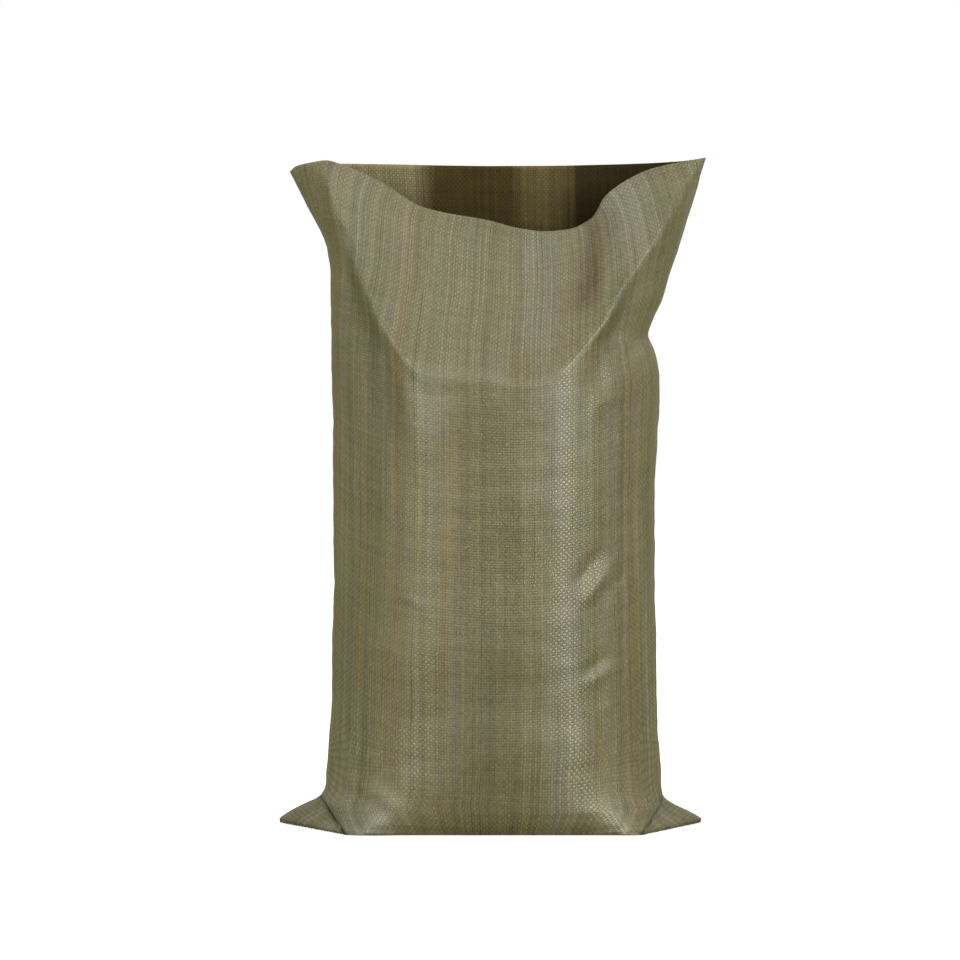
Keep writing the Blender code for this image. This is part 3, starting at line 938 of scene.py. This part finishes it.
def tape_lightness(g, weave, crossing):
    """How light each tape is: each warp tape has its own shade, and the weft is more even."""
    u, v = weave.u, weave.v
    warp_shade = g.white_noise(g.combine(g.math("FLOOR", u), 0.5, 0.5))
    weft_shade = g.white_noise(g.combine(g.math("FLOOR", v), 7.5, 0.5))
    warp_part = g.scaled(warp_shade, 0.25, 1.09)
    weft_part = g.scaled(weft_shade, 0.12, 0.90)
    weft_part = g.math("MULTIPLY", weft_part, g.scaled(warp_shade, 0.15, 1.0))
    lightness = g.blend(weave.warp_on_top, weft_part, warp_part)
    cloud = g.noise(g.combine(u, v, 4), 0.02, 3.0, 0.55)
    streak = g.noise(g.combine(u, g.math("MULTIPLY", v, 0.02), 5), 0.4, 2.0, 0.6)
    rib = g.noise(g.combine(g.math("MULTIPLY", u, 0.06), v, 6), 0.5, 2.0, 0.6)
    uneven = ((crossing, 0.16), (weave.band, 0.4), (cloud, 0.2), (streak, 0.8), (rib, 0.3))
    for value, width in uneven:
        lightness = g.math("MULTIPLY", lightness, g.scaled(value, width, 1.0))
    return lightness


def tape_gaps(g, weave):
    """How dark the gaps are: wide ones between some warp tapes, in short runs, narrow ones
    between the weft, and small holes where both meet."""
    warp_edge = g.math("ROUND", weave.u)
    width = g.math("POWER", g.white_noise(g.combine(warp_edge, 3.5, 0.5)), 2.5)
    runs = g.noise(g.combine(warp_edge, g.math("MULTIPLY", weave.v, 0.15), 8), 0.8, 2.0, 0.6)
    width = g.math("MULTIPLY", width, g.range(runs, 0.40, 0.62, 0.15, 1.1))
    open_u = g.range(weave.edge_u, 0.0, 0.5, 1.0, 0.0)
    open_v = g.range(weave.edge_v, 0.0, 0.4, 1.0, 0.0)
    lined = g.math("MULTIPLY", open_u, g.math("MULTIPLY_ADD", width, 0.75, 0.18))
    holes = g.math("MULTIPLY", g.math("MULTIPLY", open_u, open_v), 0.6)
    crossed = g.math("MULTIPLY", open_v, 0.2)
    gap = g.math("ADD", lined, g.math("ADD", holes, crossed))
    return g.math("MINIMUM", gap, 0.75)


def woven_material(name, tones):
    """Plain-woven flat tapes, ten to the inch, each with its own shade of the colour."""
    material = bpy.data.materials.new(name)
    material.use_nodes = True
    g = Graph(material)
    shader = material.node_tree.nodes["Principled BSDF"]
    weave = weave_pattern(g)
    crossing = g.white_noise(g.combine(g.math("FLOOR", weave.u), g.math("FLOOR", weave.v), 2.5))
    colour = cloth_colour(g, weave, tones)
    filled = g.math("SUBTRACT", 1.0, tape_gaps(g, weave))
    shade = g.math("MULTIPLY", tape_lightness(g, weave, crossing), filled)
    scale = {0: colour, "Scale": shade}
    colour = g.add("ShaderNodeVectorMath", scale, 0, operation="SCALE")
    g.feed(shader.inputs["Base Color"], colour)

    # The weft tapes are duller than the warp, and each shines along its own length.
    dull = g.math("MULTIPLY_ADD", weave.warp_on_top, -0.14, tones.roughness + 0.14)
    g.feed(shader.inputs["Roughness"], g.math("MULTIPLY_ADD", crossing, 0.10, dull))
    shader.inputs["IOR"].default_value = 1.5
    shader.inputs["Specular IOR Level"].default_value = tones.shine
    shader.inputs["Specular Tint"].default_value = tones.gloss
    shader.inputs["Anisotropic"].default_value = 0.5
    tangent = g.add("ShaderNodeTangent", direction_type="UV_MAP", uv_map="threads")
    g.feed(shader.inputs["Tangent"], tangent)
    quarter_turn = g.math("MULTIPLY", weave.warp_on_top, 0.25)
    g.feed(shader.inputs["Anisotropic Rotation"], quarter_turn)

    # The tapes' own relief, and the puckers that their uneven tension makes. Both are
    # less on the lower part, where the sand pulls the cloth taut.
    pucker = g.noise(weave.threads, 0.24, 2.0, 0.55)
    relief = g.math("MULTIPLY_ADD", weave.height, 0.22, g.math("MULTIPLY", pucker, 0.5))
    slack = g.range(weave.true_v, 50.0, 150.0, 0.45, 1.0)
    relief = g.math("MULTIPLY", relief, slack)
    bump = g.add("ShaderNodeBump", {"Height": relief, "Strength": 0.9, "Distance": 1.0 * MM})
    g.feed(shader.inputs["Normal"], bump)
    return material


def sand_material():
    """Dry building sand: fine grains of several tones, with a few darker ones."""
    material = bpy.data.materials.new("dry_sand")
    material.use_nodes = True
    g = Graph(material)
    shader = material.node_tree.nodes["Principled BSDF"]
    place = g.add("ShaderNodeTexCoord", output=3)
    grains = {"Vector": place, "Scale": 900.0}
    grain = g.add("ShaderNodeTexVoronoi", grains, 1)
    tone = g.split(grain)[0]
    damp = g.noise(place, 14.0, 3.0, 0.6)
    colour = g.mix(tone, (0.30, 0.22, 0.13, 1), (0.52, 0.42, 0.29, 1))
    colour = g.mix(g.range(damp, 0.45, 0.7, 0.0, 0.45), colour, (0.24, 0.17, 0.10, 1))
    dark = g.range(tone, 0.93, 0.96, 0.0, 0.8)
    colour = g.mix(dark, colour, (0.09, 0.07, 0.05, 1))
    g.feed(shader.inputs["Base Color"], colour)
    shader.inputs["Roughness"].default_value = 0.95
    shader.inputs["Specular IOR Level"].default_value = 0.03
    rough = g.add("ShaderNodeTexVoronoi", grains, 0)
    coarse = g.noise(place, 160.0, 4.0, 0.7)
    relief = g.math("MULTIPLY_ADD", coarse, 2.0, g.math("MULTIPLY", rough, -1.0))
    bump = g.add("ShaderNodeBump", {"Height": relief, "Strength": 0.9, "Distance": 0.5 * MM})
    g.feed(shader.inputs["Normal"], bump)
    return material


def thread_material():
    """Pale twisted sewing thread."""
    material = bpy.data.materials.new("twisted_thread")
    material.use_nodes = True
    g = Graph(material)
    shader = material.node_tree.nodes["Principled BSDF"]
    place = g.add("ShaderNodeTexCoord", output=3)
    x, y = g.split(place)[:2]
    aslant = g.math("ADD", x, g.math("MULTIPLY", y, 1.6))
    twist = g.math("SINE", g.math("MULTIPLY", aslant, 6500.0))
    worn = g.noise(place, 60.0, 3.0, 0.6)
    colour = g.mix(worn, (0.42, 0.39, 0.31, 1), (0.62, 0.59, 0.50, 1))
    g.feed(shader.inputs["Base Color"], colour)
    shader.inputs["Roughness"].default_value = 0.7
    shader.inputs["Specular IOR Level"].default_value = 0.03
    bump = g.add("ShaderNodeBump", {"Height": twist, "Strength": 0.5, "Distance": 0.1 * MM})
    g.feed(shader.inputs["Normal"], bump)
    return material


def make_camera():
    """The camera in front of the sack, level, a little left of its middle."""
    data = bpy.data.cameras.new("camera")
    data.lens = LENS
    data.clip_end = 50
    camera = bpy.data.objects.new("camera", data)
    camera.location = CAMERA_PLACE
    camera.rotation_euler = (np.pi / 2, 0, 0)
    bpy.context.scene.collection.objects.link(camera)
    bpy.context.scene.camera = camera


def area_light(name, place, target, size, power):
    """A rectangular lamp that faces its target. Its power is in watts."""
    data = bpy.data.lights.new(name, "AREA")
    data.shape = "RECTANGLE"
    data.size, data.size_y = size
    data.energy = power
    light = bpy.data.objects.new(name, data)
    light.location = place
    direction = Vector(target) - Vector(place)
    light.rotation_euler = direction.to_track_quat("-Z", "Y").to_euler()
    bpy.context.scene.collection.objects.link(light)
    return light


def make_world():
    """A pale room. Its light grows from the front left to the front right and upwards."""
    world = bpy.data.worlds.new("studio")
    world.use_nodes = True
    g = Graph(world)
    x, y, z = g.split(g.add("ShaderNodeTexCoord", output=0))
    in_front = g.range(x, -0.7, 0.7, FRONT_LEFT_LIGHT, FRONT_RIGHT_LIGHT)
    around = g.blend(g.range(y, 0.5, -0.8, 0.0, 1.0), BACK_LIGHT, in_front)
    light = g.blend(g.range(z, 0.1, 0.8, 0.0, 1.0), around, SKY_LIGHT)
    seen = g.add("ShaderNodeLightPath", output=0)
    background = world.node_tree.nodes["Background"]
    g.feed(background.inputs["Strength"], g.blend(seen, light, 1.0))
    background.inputs["Color"].default_value = (1, 1, 1, 1)
    bpy.context.scene.world = world


def make_lamps():
    """A soft lamp above, and three that only the gloss of the tapes shows."""
    middle = (0, 0, 0.4)
    area_light("overhead", (-0.3, -0.9, 3.0), middle, (1.6, 1.2), 10)
    left = area_light("key_left", (-1.45, -2.6, 1.1), middle, (1.3, 1.5), 2600)
    right = area_light("key_right", (1.60, -2.5, 1.1), middle, (1.5, 1.5), 5000)
    top = area_light("key_top", (0.1, -2.0, 2.7), (0, 0, 0.5), (2.2, 0.8), 150)
    for light in (left, right, top):
        light.visible_diffuse = False


def make_floor():
    """A pale floor, which the camera sees as white."""
    bpy.ops.mesh.primitive_plane_add(size=FLOOR_SIZE, location=(0, 0, FLOOR_Z))
    floor = bpy.context.object
    floor.name = "floor"
    material = bpy.data.materials.new("pale_floor")
    material.use_nodes = True
    g = Graph(material)
    shader = material.node_tree.nodes["Principled BSDF"]
    shader.inputs["Base Color"].default_value = FLOOR_COLOUR
    shader.inputs["Roughness"].default_value = 0.9
    shader.inputs["Specular IOR Level"].default_value = 0
    shader.inputs["Emission Color"].default_value = (1, 1, 1, 1)
    seen = g.add("ShaderNodeLightPath", output=0)
    g.feed(shader.inputs["Emission Strength"], g.math("MULTIPLY_ADD", seen, 0.62, 0.02))
    floor.data.materials.append(material)


make_camera()
tube = add_folds(whole_cloth(panel_cloth(front=True), panel_cloth(front=False)))
woven = woven_material("woven_tapes", OUTSIDE)

cloth = make_cloth(tube)
cloth.data.materials.append(woven)
cloth.data.materials.append(woven_material("woven_tapes_inside_shaded", INSIDE_SHADED))
hem = make_hem()
hem.data.materials.append(woven)
stitches = make_stitches()
stitches.data.materials.append(thread_material())
sand = make_sand(tube)
sand.data.materials.append(sand_material())

for piece in (cloth, hem, stitches, sand):
    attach(piece, "root")
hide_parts("sack_fabric")
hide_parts("bottom_stitching")
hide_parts("sand_fill")

make_world()
make_lamps()
make_floor()
bpy.context.scene.view_settings.view_transform = "Standard"
